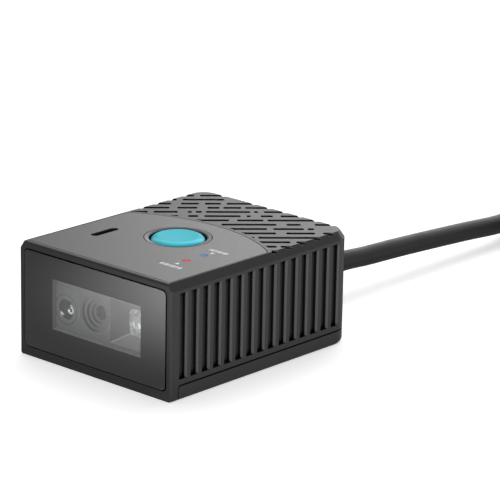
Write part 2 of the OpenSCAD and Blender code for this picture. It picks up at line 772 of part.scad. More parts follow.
// Lens barrel with a stepped mouth, a seat for the glass and a chamber in front of the sensor
module lens_barrel() {
    s = baffle_step;
    color("#6c6e6d") translate([lens_x, plate_y, axis_z]) rotate([-90, 0, 0]) rotate_extrude()
        polygon([[barrel_r, 0], [barrel_r, engine_l], [barrel_r - 1, engine_l], [barrel_r - 1, 4 * s + 1.5],
            [barrel_r - 2.2, 4 * s + 1.5], [barrel_r - 2.2, 4 * s], [barrel_r - 2.8, 4 * s],
            [barrel_r - 2.8, 3 * s], [barrel_r - 2.1, 3 * s], [barrel_r - 2.1, 2 * s],
            [barrel_r - 1.3, 2 * s], [barrel_r - 1.3, s], [barrel_r - 0.5, s], [barrel_r - 0.5, 0]]);
}

module lens_glass() {
    r = barrel_r - 2.2 - fit;
    color([0.35, 0.4, 0.5, 0.6]) translate([lens_x, plate_y + 4 * baffle_step + 0.05, axis_z])
        rotate([-90, 0, 0]) rotate_extrude() polygon(concat([[0, 1.4], [r, 1.4], [r, 0]],
            [for (i = [5:-1:0]) [(r - 0.7) * i / 5, -0.35 * (1 - pow(i / 5, 2))]]));
}

module illumination_lens() {
    color([0.85, 0.88, 0.88, 0.5]) translate([lamp_x, plate_y, axis_z]) rotate([-90, 0, 0])
        rotate_extrude() polygon(concat([[0, lamp_lens_t], [lamp_lens_r, lamp_lens_t]],
            [for (i = [5:-1:0]) [lamp_lens_r * i / 5, 0.4 * pow(i / 5, 2)]]));
}

module illumination_led() {
    color("#e8d890") translate([lamp_x, engine_back, axis_z]) rotate([90, 0, 0]) {
        block(emitter_w, emitter_w, 0.6);
        translate([0, 0, 0.3]) cylinder(r = 1.1, h = 0.7);
    }
}

module aimer_lens() {
    w = aimer_w / 2;
    color([0.9, 0.93, 0.95, 0.6]) translate([pocket_x, plate_y + pocket_l, aimer_z]) difference() {
        translate([-w, 0, -w]) cube([aimer_w, aimer_t, aimer_w]);
        for (i = [-1, 1])
            translate([i * aimer_w / 4, 0, 0]) rotate([0, 0, 45]) translate([-0.5, -0.5, -w - 1])
                cube([1, 1, aimer_w + 2]);
    }
}

module aimer_led() {
    color("#f4efe0") translate([pocket_x, engine_back, aimer_z]) rotate([90, 0, 0])
        block(2.6, 2.6, engine_l - pocket_l - aimer_t - 0.1);
}

module engine_board() {
    color("#1d5c3a") along_y(engine_back, engine_back + board_t) translate([0, open_z])
        square([engine_w - 1, engine_h - 0.5], center = true);
}

module image_sensor() {
    color("#20252e") translate([lens_x, engine_back, axis_z]) rotate([90, 0, 0])
        block(sensor_w, sensor_w, 0.9);
}

module engine_screws() {
    color("silver") mirror_x() translate([ear_x, inner_front + ear_t, open_z]) rotate([-90, 0, 0])
        screw(ear_t + 1);
}

// Main board and what stands on it
module main_board() {
    color("#1d5c3a") difference() {
        translate([-main_board_w / 2, main_front, main_board_z])
            cube([main_board_w, main_rear - main_front, board_t]);
        mirror_x() for (y = standoff_ys)
            translate([standoff_x, y, main_board_z - 1]) cylinder(r = pilot_r, h = board_t + 2);
    }
}

module main_board_screws() {
    color("silver") mirror_x() for (y = standoff_ys)
        translate([standoff_x, y, main_board_top]) screw(board_t + standoff_h - 1);
}

module decoder_chip() {
    color("#1b1c20") translate([4, (main_front + main_rear) / 2, main_board_top]) block(12, 12, 1.2);
}

module cable_connector() {
    color("#e6e2d6") translate([0, main_rear - connector_l / 2, main_board_top])
        block(connector_w, connector_l, connector_h);
}

module ribbon_socket() {
    color("#e6e2d6") translate([0, main_front + 1 + socket_l / 2, main_board_top])
        block(12, socket_l, socket_h);
}

module engine_ribbon() {
    start = engine_back + board_t;
    end = main_front + 1;
    bend = (start + end) / 2;
    high = open_z - engine_h / 2 + 2;
    low = main_board_top + socket_h / 2;
    t = ribbon_t;
    color("#c8702c") along_x(-5, 5) polygon([[start, high], [start, high + t], [bend + t, high + t],
        [bend + t, low + t], [end, low + t], [end, low], [bend, low], [bend, high]]);
}

module panel_ribbon() {
    color("#c8702c") translate([-12, top_board_front + top_board_l - 4, main_board_top])
        cube([8, ribbon_t, top_board_z - board_t - main_board_top]);
}

// Fasteners of the cover and threaded inserts for mounting
module cover_screws() {
    color("silver") mirror_x() for (y = post_ys)
        translate([post_x, y, screw_seat]) mirror([0, 0, 1]) screw(cover_screw_l);
}

module mount_inserts() {
    color("#c8a24c") mirror_x() translate([mount_pitch / 2, 0, 0]) difference() {
        cylinder(r = insert_r, h = insert_l);
        translate([0, 0, -1]) cylinder(r = mount_r, h = insert_l + 2);
    }
}

// Strain relief: two flanges that grip the rear wall, and a tapered tail with flexing rings
module strain_relief() {
    root_r = cord_d / 2 + 1.5;
    tip_r = cord_d / 2 + 0.7;
    rings = 4;
    ring_l = (relief_l - 1) / rings;
    tail = [for (i = [0:rings - 1])
        let (z = relief_flange_t + ring_l * i, r = root_r + (tip_r - root_r) * i / rings)
        each [[r - 0.6, z], [r - 0.6, z + ring_l * 0.35], [r, z + ring_l * 0.35], [r, z + ring_l]]];
    color("#1c1c1e") translate([0, rear_y, outlet_z]) rotate([-90, 0, 0]) rotate_extrude() polygon(concat(
        [[0, -wall - relief_flange_t], [relief_flange_r, -wall - relief_flange_t], [relief_flange_r, -wall],
            [neck_r, -wall], [neck_r, 0], [relief_flange_r, 0], [relief_flange_r, relief_flange_t]],
        tail, [[tip_r, relief_flange_t + relief_l], [0, relief_flange_t + relief_l]]));
}

module inner_lead() {
    start = inner_rear - relief_flange_t;
    color("#2a2a2c") translate([0, main_rear, outlet_z]) rod_y(1.2, start - main_rear);
}

// Lead: the free run, the coil of its spare length, the tie, the tail and the plug
module cord_lead() {
    color("#2b2b2d") tube(route(lead_route, 3), cord_d / 2);
}

module cord_coil() {
    color("#2b2b2d") translate([coil_x, coil_y, coil_lift]) rotate_extrude($fn = 72)
        translate([coil_r, coil_h / 2]) round_rect(coil_w, coil_h, cord_d / 2);
}

module coil_tie() {
    low = 0.2;
    thick = 0.6;
    near = coil_r - coil_w / 2 - 0.6;
    far = coil_r + coil_w / 2 + 0.2;
    color("#141415") translate([coil_x, coil_y, 0]) along_x(-4, 4) difference() {
        translate([-far - thick, coil_lift - low - thick])
            square([far - near + 2 * thick, coil_h + 2 * (low + thick)]);
        translate([-far, coil_lift - low]) square([far - near, coil_h + 2 * low]);
    }
}

module cord_tail() {
    color("#2b2b2d") tube(route(tail_route, 2), cord_d / 2);
}

module plug_body() {
    face_y = plug_y - plug_neck_l - plug_l;
    color("#202022") translate([plug_x, 0, plug_z]) difference() {
        union() {
            along_y(face_y, face_y + plug_l) round_rect(plug_w, plug_h, 2.2);
            translate([0, plug_y - plug_neck_l - 0.5, 0]) rotate([-90, 0, 0])
                cylinder(r1 = plug_neck_r + 0.4, r2 = plug_neck_r - 0.3, h = plug_neck_l + 0.5);
        }
        along_y(face_y - 1, face_y + shell_root + fit)
            square([shell_w + 2 * fit, shell_h + 2 * fit], center = true);
    }
}

module plug_shell() {
    face_y = plug_y - plug_neck_l - plug_l;
    color("#c4c6c8") translate([plug_x, 0, plug_z]) difference() {
        along_y(face_y - shell_l, face_y + shell_root) round_rect(shell_w, shell_h, 0.5);
        along_y(face_y - shell_l - 1, face_y + shell_root - 0.6)
            square([shell_w - 2 * shell_t, shell_h - 2 * shell_t], center = true);
        mirror_x() translate([2.5, face_y - shell_l + 5, 1]) block(2.2, 2.2, 2);
    }
}

module plug_tongue() {
    face_y = plug_y - plug_neck_l - plug_l;
    w = shell_w - 2 * shell_t - 2 * fit;
    color("#e8e8e6") translate([plug_x - w / 2, face_y - shell_l + 1, plug_z - shell_h / 2 + shell_t + fit])
        cube([w, shell_l + shell_root - 1 - 0.6 - fit, 1.8]);
}

main_housing();
bottom_cover();
top_panel();
button_bezel();
trigger_button();
switch_plunger();
tact_switch();
power_light_pipe();
status_light_pipe();
indicator_leds();
buzzer();
top_board();
top_board_screws();
front_window();
window_mask();
window_seal();
engine_shroud();
lens_barrel();
lens_glass();
illumination_lens();
illumination_led();
aimer_lens();
aimer_led();
engine_board();
image_sensor();
engine_screws();
main_board();
main_board_screws();
decoder_chip();
cable_connector();
ribbon_socket();
engine_ribbon();
panel_ribbon();
cover_screws();
mount_inserts();
strain_relief();
inner_lead();
cord_lead();
cord_coil();
coil_tie();
cord_tail();
plug_body();
plug_shell();
plug_tongue();
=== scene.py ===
import math

import bpy
from bpy.props import FloatProperty, FloatVectorProperty, PointerProperty
from bpy.types import Operator, Panel, PropertyGroup
from mathutils import Matrix, Vector


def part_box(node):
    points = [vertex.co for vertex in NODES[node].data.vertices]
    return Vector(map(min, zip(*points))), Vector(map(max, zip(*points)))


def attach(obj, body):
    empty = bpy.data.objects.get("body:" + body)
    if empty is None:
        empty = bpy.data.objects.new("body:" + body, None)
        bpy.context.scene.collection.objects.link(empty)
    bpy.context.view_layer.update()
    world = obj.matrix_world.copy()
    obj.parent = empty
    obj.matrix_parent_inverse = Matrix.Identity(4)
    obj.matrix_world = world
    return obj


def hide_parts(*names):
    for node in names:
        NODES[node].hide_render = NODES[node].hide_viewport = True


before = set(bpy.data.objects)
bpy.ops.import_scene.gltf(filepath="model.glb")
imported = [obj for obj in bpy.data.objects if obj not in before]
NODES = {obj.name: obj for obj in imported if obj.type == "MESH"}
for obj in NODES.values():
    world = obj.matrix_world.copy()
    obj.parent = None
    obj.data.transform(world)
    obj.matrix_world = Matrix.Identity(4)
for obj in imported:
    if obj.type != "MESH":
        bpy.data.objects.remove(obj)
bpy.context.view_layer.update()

bl_info = {
    "name": "Fixed barcode reader",
    "version": (1, 0, 0),
    "blender": (4, 5, 0),
    "location": "3D View > Sidebar > Reader",
    "description": "Finishes a fixed barcode reader, its lead and its stage",
    "category": "Object",
}

MM = 0.001
BODY = "reader"
WHITE = (1, 1, 1, 1)

# The camera at the photograph's viewing angle: its place and its own axes
CAMERA_PLACE = (0.44407, -0.47157, 0.22452)
CAMERA_AHEAD = Vector((-0.63879, 0.71079, -0.29451))
CAMERA_RIGHT = Vector((0.73996, 0.67241, 0.01786))
CAMERA_UP = Vector((-0.21072, 0.20652, 0.95548))

# Place and size of each lamp of the studio
TOP_LAMP = (-0.40, 0.45, 1.0), (0.9, 0.9)
BACK_LAMP = (-0.36, 1.16, 0.42), (1.3, 0.7)
SIDE_LAMP = (0.64, -0.38, 0.11), (0.8, 0.2)

# Directions along which painted light and shade are laid. The rear bevel of each side slot faces FROM_SLOT.
TO_FRONT = (0.0, -1.0, 0.0)
TO_CAMERA = (0.67, -0.74, 0.0)
TO_LEFT = (-0.74, -0.67, 0.0)
FROM_SLOT = (0.707, -0.707, 0.0)

# Where the lead runs, in metres: from the strain relief to its coil, and from the coil to the plug
COIL_X = 0.012
COIL_Y = 0.170
LEAD_ROUTE = [
    (0, 0.04445, 0.0091), (0, 0.050, 0.0091), (0, 0.060, 0.00895), (0, 0.068, 0.0084),
    (0, 0.080, 0.0079), (0, 0.093, 0.0072), (0, 0.110, 0.00615), (0, 0.125, 0.0051),
    (-0.003, 0.138, 0.0041), (-0.009, 0.149, 0.0036), (-0.0155, 0.159, 0.0034), (-0.0187, 0.170, 0.0034),
]
TAIL_ROUTE = [
    (COIL_X - 0.0216, COIL_Y - 0.0079, 0.0130), (COIL_X - 0.023, COIL_Y, 0.0150),
    (COIL_X - 0.0216, COIL_Y + 0.0079, 0.0165), (COIL_X - 0.0163, COIL_Y + 0.0163, 0.0169),
    (COIL_X - 0.006, COIL_Y + 0.0222, 0.0171), (COIL_X + 0.006, COIL_Y + 0.0222, 0.0177),
    (COIL_X + 0.0145, COIL_Y + 0.0173, 0.0185), (COIL_X + 0.0192, COIL_Y + 0.011, 0.0190),
    (COIL_X + 0.0203, COIL_Y + 0.006, 0.0192), (COIL_X + 0.0203, COIL_Y + 0.003, 0.0192),
]
# Radius and height at the start of each turn of the coil, as it is wound. The last pair is where it ends.
COIL_TURNS = [
    (0.0307, 0.0034), (0.0255, 0.0034), (0.0203, 0.0034), (0.0229, 0.0079), (0.0281, 0.0079),
    (0.0307, 0.0124), (0.0255, 0.0124), (0.0203, 0.0124), (0.0230, 0.0130),
]


class LeadSettings(PropertyGroup):
    """The lead and what is on it"""
    length: FloatProperty(
        name="Length", description="Length of the lead", default=1.5, unit="LENGTH")
    diameter: FloatProperty(
        name="Diameter", description="Diameter of the lead", default=0.0052, unit="LENGTH")
    colour: FloatVectorProperty(
        name="Jacket", description="Colour of the lead's jacket",
        default=(0.015, 0.015, 0.0155), subtype="COLOR")
    tie_width: FloatProperty(
        name="Tie width", description="Width of the strap", default=0.008, unit="LENGTH")
    tie_colour: FloatVectorProperty(
        name="Tie", description="Colour of the strap around the coil",
        default=(0.010, 0.010, 0.011), subtype="COLOR")


class FinishSettings(PropertyGroup):
    """Colours of the reader's pieces"""
    housing: FloatVectorProperty(
        name="Housing", description="Colour of the mouldings",
        default=(0.0055, 0.0055, 0.0058), subtype="COLOR")
    panel: FloatVectorProperty(
        name="Panel", description="Colour of the top panel",
        default=(0.010, 0.010, 0.0105), subtype="COLOR")
    button: FloatVectorProperty(
        name="Button", description="Colour of the button",
        default=(0.040, 0.49, 0.60), subtype="COLOR")
    power: FloatVectorProperty(
        name="Power lamp", description="Colour of the power lamp",
        default=(0.80, 0.035, 0.035), subtype="COLOR")
    status: FloatVectorProperty(
        name="Status lamp", description="Colour of the status lamp",
        default=(0.075, 0.19, 0.56), subtype="COLOR")
    engine: FloatVectorProperty(
        name="Engine", description="Colour of the scan engine's face",
        default=(0.29, 0.295, 0.29), subtype="COLOR")
    marks: FloatVectorProperty(
        name="Marks", description="Colour of the printed marks",
        default=(0.75, 0.75, 0.75), subtype="COLOR")
    mark_size: FloatProperty(
        name="Mark size", description="Size of a printed mark", default=0.0013, unit="LENGTH")


class StageSettings(PropertyGroup):
    """Camera, floor and light"""
    lens: FloatProperty(
        name="Lens", description="Focal length", default=200.8, unit="CAMERA")
    floor: FloatVectorProperty(
        name="Floor", description="Colour of the floor", default=(0.92, 0.92, 0.92), subtype="COLOR")
    lift: FloatProperty(
        name="Lift", description="Brightness that the camera sees on top of the floor's", default=0.36)
    # Painted light: a bright spot on the floor that only mirrored rays see
    glow: FloatProperty(
        name="Glow", description="Bright spot on the floor that the window mirrors", default=5.4)
    sky: FloatProperty(
        name="Sky", description="Strength of the even light", default=0.5, min=0)
    top: FloatProperty(
        name="Top lamp", description="Power of the lamp above", default=5.5, unit="POWER")
    back: FloatProperty(
        name="Back lamp", description="Power of the lamp behind on the left", default=5.0, unit="POWER")
    side: FloatProperty(
        name="Side lamp", description="Power of the low lamp in front", default=5.5, unit="POWER")


def settings(context):
    scene = context.scene
    return scene.reader_lead, scene.reader_finish, scene.reader_stage


# Materials

def scaled(colour, k):
    """A colour k times as bright, with its alpha"""
    return tuple(min(1.0, c * k) for c in colour) + (1.0,)


class Finish:
    """A material with one Principled shader and the nodes that feed it"""

    def __init__(self, name, colour, roughness, **sockets):
        self.mat = bpy.data.materials.new(name)
        self.mat.use_nodes = True
        self.nodes = self.mat.node_tree.nodes
        self.links = self.mat.node_tree.links
        self.shader = self.nodes["Principled BSDF"]
        self.colour = colour
        self.set("Base Color", tuple(colour) + (1.0,))
        self.set("Roughness", roughness)
        for socket, value in sockets.items():
            self.set(socket.replace("_", " "), value)
        coordinates = self.node("ShaderNodeTexCoord")
        self.place = coordinates.outputs["Object"]
        self.normal = coordinates.outputs["Normal"]

    def node(self, kind, **inputs):
        node = self.nodes.new(kind)
        for name, value in inputs.items():
            node.inputs[name.replace("_", " ")].default_value = value
        return node

    def set(self, socket, value):
        self.shader.inputs[socket].default_value = value

    def join(self, out, socket):
        self.links.new(out, socket)

    def noise(self, size, detail=2.0, stretch=None):
        """Noise whose grains are about size metres across"""
        noise = self.node("ShaderNodeTexNoise", Scale=1 / size, Detail=detail)
        place = self.place
        if stretch:
            mapping = self.node("ShaderNodeMapping", Scale=stretch)
            self.join(place, mapping.inputs["Vector"])
            place = mapping.outputs["Vector"]
        self.join(place, noise.inputs["Vector"])
        return noise.outputs["Fac"]

    def ramp(self, value, low, high, to_low=0.0, to_high=1.0):
        """A value that goes from to_low to to_high while another goes from low to high"""
        node = self.node("ShaderNodeMapRange", From_Min=low, From_Max=high, To_Min=to_low, To_Max=to_high)
        self.join(value, node.inputs["Value"])
        return node.outputs["Result"]

    def spread(self, noise, low, high):
        """Noise, most of which lies near its middle, spread from low to high"""
        return self.ramp(noise, 0.3, 0.7, low, high)

    def blend(self, factor, a, b):
        """A colour between a and b, each a colour or another node's output"""
        node = self.node("ShaderNodeMix")
        node.data_type = "RGBA"
        self.join(factor, node.inputs[0])
        for colour, socket in ((a, node.inputs[6]), (b, node.inputs[7])):
            if isinstance(colour, bpy.types.NodeSocket):
                self.join(colour, socket)
            else:
                socket.default_value = colour
        return node.outputs[2]

    def along(self, vector, axis):
        """One part of a place or a normal"""
        parts = self.node("ShaderNodeSeparateXYZ")
        self.join(vector, parts.inputs[0])
        return parts.outputs[axis]

    def facing(self, direction):
        """How far the surface faces a direction"""
        node = self.node("ShaderNodeVectorMath")
        node.operation = "DOT_PRODUCT"
        node.inputs[1].default_value = direction
        self.join(self.normal, node.inputs[0])
        return node.outputs["Value"]

    def math(self, operation, a, b):
        """A sum, product or the like of two outputs"""
        node = self.node("ShaderNodeMath")
        node.operation = operation
        self.join(a, node.inputs[0])
        self.join(b, node.inputs[1])
        return node.outputs[0]

    def tint(self, factor, colour):
        """Another colour where the factor is high"""
        base = self.shader.inputs["Base Color"]
        self.join(self.blend(factor, base.links[0].from_socket, colour), base)

    def mottle(self, size, amount):
        """Uneven colour"""
        shade = self.spread(self.noise(size, 3.0), 0.0, 1.0)
        colour = self.blend(shade, scaled(self.colour, 1 - amount), scaled(self.colour, 1 + amount))
        self.join(colour, self.shader.inputs["Base Color"])

    def uneven_gloss(self, size, low, high):
        self.join(self.spread(self.noise(size), low, high), self.shader.inputs["Roughness"])

    def paint_recess_shade(self, reach, shade):
        """Painted shade in slots and grooves: darker where ambient occlusion is low, and black metal there,
        which mirrors nothing
        """
        dull_roughness = 0.9
        light = self.node("ShaderNodeAmbientOcclusion", Distance=reach)
        light.only_local = True
        light.samples = 8
        outside = self.ramp(light.outputs["AO"], 0.45, 0.85)
        colour, gloss = self.shader.inputs["Base Color"], self.shader.inputs["Roughness"]
        self.join(self.blend(outside, scaled(self.colour, shade), colour.links[0].from_socket), colour)
        dull = self.node("ShaderNodeMix")
        self.join(outside, dull.inputs[0])
        dull.inputs[2].default_value = dull_roughness
        self.join(gloss.links[0].from_socket, dull.inputs[3])
        self.join(dull.outputs[0], gloss)
        self.join(self.ramp(light.outputs["AO"], 0.5, 0.85, 1.0, 0.0), self.shader.inputs["Metallic"])

    def relief(self, height, depth, edge=0.0):
        """Fine relief on the surface, and edges that catch the light as if rounded"""
        bump = self.node("ShaderNodeBump", Strength=1.0, Distance=depth)
        self.join(height, bump.inputs["Height"])
        if edge:
            bevel = self.node("ShaderNodeBevel", Radius=edge)
            bevel.samples = 6
            self.join(bevel.outputs["Normal"], bump.inputs["Normal"])
        self.join(bump.outputs["Normal"], self.shader.inputs["Normal"])


def moulded(name, colour, roughness, grain=0.0003, depth=0.000003, edge=0.0002, **sockets):
    """Moulded plastic with a fine grain"""
    change = 0.012
    finish = Finish(name, colour, roughness, **sockets)
    finish.mottle(0.006, 0.05)
    finish.uneven_gloss(0.0015, roughness - change, roughness + change)
    finish.relief(finish.noise(grain), depth, edge)
    return finish


def clear(name, colour, roughness, ior, **sockets):
    """Clear moulding or glass"""
    finish = Finish(name, colour, roughness, Transmission_Weight=1.0, IOR=ior, **sockets)
    finish.uneven_gloss(0.004, roughness, roughness + 0.004)
    return finish


def metal(name, colour, roughness, stretch=(1, 1, 1)):
    """Plated or turned metal with fine lines along its work"""
    change = 0.08
    finish = Finish(name, colour, roughness, Metallic=1.0)
    lines = finish.noise(0.0004, 3.0, stretch)
    gloss = finish.spread(lines, roughness - change, roughness + change)
    finish.join(gloss, finish.shader.inputs["Roughness"])
    finish.relief(lines, 0.000002, 0.0001)
    return finish


def dress(finish, *names):
    """Gives CAD nodes their finish"""
    for name in names:
        for slot in NODES[name].material_slots:
            slot.material = finish.mat


# Modelling helpers

def deselect():
    bpy.ops.object.select_all(action="DESELECT")


def activate(piece):
    deselect()
    piece.select_set(True)
    bpy.context.view_layer.objects.active = piece


def begin(name):
    """Names the primitive just added"""
    piece = bpy.context.object
    piece.name = name
    piece.data.name = name
    return piece


def settle(piece, place=None, turn=None):
    """Puts a piece in its place, and the place into its mesh"""
    if place:
        piece.location = place
    if turn:
        piece.rotation_euler = turn
    activate(piece)
    bpy.ops.object.transform_apply(location=True, rotation=True, scale=True)


def block(name, size, place):
    """A box to start from"""
    deselect()
    bpy.ops.mesh.primitive_cube_add(size=1, location=place, scale=size)
    piece = begin(name)
    settle(piece)
    return piece


def apply(piece, kind, **values):
    """Adds a modifier and applies it"""
    activate(piece)
    modifier = piece.modifiers.new(kind.title(), kind)
    for key, value in values.items():
        setattr(modifier, key, value)
    bpy.ops.object.modifier_apply(modifier=modifier.name)


def round_edges(piece, radius, segments=3):
    apply(piece, "BEVEL", width=radius, segments=segments, limit_method="ANGLE")


def cut(piece, cutter):
    """Takes a cutter's shape out of a piece"""
    apply(piece, "BOOLEAN", operation="DIFFERENCE", solver="EXACT", object=cutter)
    bpy.data.objects.remove(cutter)


def pick_faces(piece, test):
    """Enters edit mode with those faces selected whose middle and normal pass the test"""
    activate(piece)
    bpy.ops.object.mode_set(mode="EDIT")
    bpy.ops.mesh.select_mode(type="FACE")
    bpy.ops.mesh.select_all(action="DESELECT")
    bpy.ops.object.mode_set(mode="OBJECT")
    for face in piece.data.polygons:
        face.select = test(face.center, face.normal)
    bpy.ops.object.mode_set(mode="EDIT")


def turned(name, profile, hollow=False, vertices=48):
    """A turned piece: a disc, or a ring if hollow, drawn out through a profile of radii and heights"""
    radius, height = profile[0]
    deselect()
    bpy.ops.mesh.primitive_circle_add(
        vertices=vertices, radius=radius, location=(0, 0, height),
        fill_type="NOTHING" if hollow else "NGON")
    piece = begin(name)
    settle(piece)
    bpy.ops.object.mode_set(mode="EDIT")
    bpy.ops.mesh.select_mode(type="VERT")
    bpy.ops.mesh.select_all(action="SELECT")
    for r, z in profile[1:]:
        bpy.ops.mesh.extrude_region_move(TRANSFORM_OT_translate={"value": (0, 0, z - height)})
        bpy.ops.transform.resize(value=(r / radius, r / radius, 1), center_override=(0, 0, z))
        radius, height = r, z
    bpy.ops.mesh.select_all(action="SELECT")
    bpy.ops.mesh.remove_doubles(threshold=1e-7)
    bpy.ops.mesh.normals_make_consistent(inside=False)
    bpy.ops.object.mode_set(mode="OBJECT")
    smooth(piece)
    return piece


def smooth(piece, angle=35):
    activate(piece)
    bpy.ops.object.shade_smooth_by_angle(angle=math.radians(angle))


def join(pieces, name):
    deselect()
    for piece in pieces:
        piece.select_set(True)
    bpy.context.view_layer.objects.active = pieces[0]
    bpy.ops.object.join()
    return begin(name)


def copies(piece, moves):
    """The piece and its copies, each with its own mesh, moved from the first"""
    out = [piece]
    for move in moves:
        activate(piece)
        bpy.ops.object.duplicate(linked=False)
        twin = bpy.context.object
        settle(twin, move)
        out.append(twin)
    return out


def fit(piece, finish, slot, *replaced):
    """Gives a modelled piece its finish and its place on the reader"""
    settle(piece)
    piece.data.materials.clear()
    piece.data.materials.append(finish.mat)
    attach(piece, BODY)
    if replaced:
        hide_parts(*replaced)
    return piece


# The lead

def spline_points(route, steps):
    """Points of a smooth curve through a route"""
    points = [Vector(p) for p in route]
    last = len(points) - 1
    out = []
    for i in range(last):
        a, b, c, d = points[max(i - 1, 0)], points[i], points[i + 1], points[min(i + 2, last)]
        for j in range(steps):
            t = j / steps
            out.append(0.5 * (2 * b + (c - a) * t + (2 * a - 5 * b + 4 * c - d) * t ** 2
                              + (3 * b - a - 3 * c + d) * t ** 3))
    return out + [points[last]]


def coil_points(steps=48, shift=60):
    """Turns of the coil, wound clockwise. In the last stretch of a turn the lead moves to the next one."""
    out = []
    for turn in range(len(COIL_TURNS) - 1):
        radius, height = COIL_TURNS[turn]
        next_radius, next_height = COIL_TURNS[turn + 1]
        end = 340 if turn == len(COIL_TURNS) - 2 else 360
        for i in range(1, steps):
            angle = end * i / steps
            t = max(0.0, (angle - (end - shift)) / shift)
            t = t * t * (3 - 2 * t)
            r = radius + (next_radius - radius) * t
            a = math.radians(180 - angle)
            out.append(Vector((COIL_X + r * math.cos(a), COIL_Y + r * math.sin(a),
                               height + (next_height - height) * t)))
    return out


class READER_OT_camera(Operator):
    """Sets the camera at the photograph's viewing angle"""
    bl_idname = "reader.camera"
    bl_label = "Set camera"

    def execute(self, context):
        stage = settings(context)[2]
        deselect()
        bpy.ops.object.camera_add()
        camera = bpy.context.object
        camera.name = "photo_camera"
        camera.data.lens = stage.lens
        camera.data.sensor_width = 36
        camera.data.clip_start = 0.01
        turn = Matrix((CAMERA_RIGHT, CAMERA_UP, -CAMERA_AHEAD)).transposed()
        camera.matrix_world = Matrix.Translation(CAMERA_PLACE) @ turn.to_4x4()
        context.scene.camera = camera
        return {"FINISHED"}


class READER_OT_plug(Operator):
    """Models the plug's overmould and contacts"""
    bl_idname = "reader.plug"
    bl_label = "Model plug"

    def execute(self, context):
        lead = settings(context)[0]
        body = self.overmould()
        fit(body, moulded("plug_moulding", lead.colour, 0.5, edge=0), "plug_plastic", "plug_body")
        dress(metal("plug_plate", (0.62, 0.62, 0.63), 0.28, (1, 8, 1)), "plug_shell")
        dress(moulded("plug_insulator", (0.62, 0.62, 0.6), 0.5), "plug_tongue")
        pads = self.contacts()
        fit(pads, metal("contact_gold", (0.75, 0.55, 0.2), 0.25, (1, 6, 1)), "insert_brass")
        return {"FINISHED"}

    def overmould(self):
        """A rounded block with a row of grips on both sides, and a ringed neck for the lead"""
        low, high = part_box("plug_body")
        x, z = (low.x + high.x) / 2, (low.z + high.z) / 2
        length, corner = 0.026, 0.0018
        grip_size, grip_start, grip_pitch, grip_count = (0.0098, 0.0010, 0.0009), 0.008, 0.0022, 6
        body = block("plug_overmould", (high.x - low.x, length, high.z - low.z), (x, low.y + length / 2, z))
        round_edges(body, corner, 5)
        grip = block("grip", grip_size, (x, low.y + grip_start, high.z))
        round_edges(grip, 0.0003, 2)
        rows = join(copies(grip, [(0, grip_pitch * i, 0) for i in range(1, grip_count)]), "grips")
        both = join(copies(rows, [(0, 0, low.z - high.z)]), "grips")
        cut(body, both)
        neck, ring_pitch, ring_count, radius, taper, groove = 0.009, 0.0021, 4, 0.0039, 0.00016, 0.0006
        steps = [(0.0040, 0)]
        for i in range(ring_count):
            start, r = 0.0004 + ring_pitch * i, radius - taper * i
            steps += [(r, start), (r, start + 0.0011)]
            steps += [(r - groove, start + 0.0012), (r - groove, start + 0.0020)]
        tail = turned("plug_neck", steps + [(0.0033, neck - 0.0004), (0.0031, neck)])
        settle(tail, (x, low.y + length - 0.0003, z), (-math.pi / 2, 0, 0))
        body = join([body, tail], "plug_overmould")
        smooth(body)
        return body

    def contacts(self):
        """Four contacts in a row on the plug's tongue"""
        low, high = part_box("plug_body")
        x = (low.x + high.x) / 2
        low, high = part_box("plug_tongue")
        pad = block("plug_contact", (0.0012, 0.0075, 0.0002), (x - 0.0034, low.y + 0.0045, high.z + 0.00005))
        round_edges(pad, 0.00005, 2)
        return join(copies(pad, [(0.0023, 0, 0), (0.0045, 0, 0), (0.0068, 0, 0)]), "plug_contacts")


class READER_OT_tie(Operator):
    """Models the strap around the coil"""
    bl_idname = "reader.tie"
    bl_label = "Model tie"

    def execute(self, context):
        lead = settings(context)[0]
        low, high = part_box("coil_tie")
        middle = (low + high) / 2
        size = high - low
        strap = 0.0006
        band = block("tie_band", (lead.tie_width, size.y, size.z), middle)
        pick_faces(band, lambda place, normal: abs(normal.x) > 0.9)
        bpy.ops.mesh.delete(type="ONLY_FACE")
        bpy.ops.object.mode_set(mode="OBJECT")
        round_edges(band, 0.003, 6)
        apply(band, "SOLIDIFY", thickness=strap, offset=-1)
        end = block("tie_end", (lead.tie_width, 0.0095, strap),
                    (middle.x, middle.y + 0.001, high.z + strap / 2))
        round_edges(end, 0.00025, 2)
        band = join([band, end], "tie_band")
        smooth(band)
        weave = Finish("tie_weave", lead.tie_colour, 0.85, Sheen_Weight=0.3)
        weave.mottle(0.0007, 0.3)
        weave.relief(weave.noise(0.0005, 2.0, (3, 1, 1)), 0.00012)
        fit(band, weave, "tie_fabric", "coil_tie")
        return {"FINISHED"}


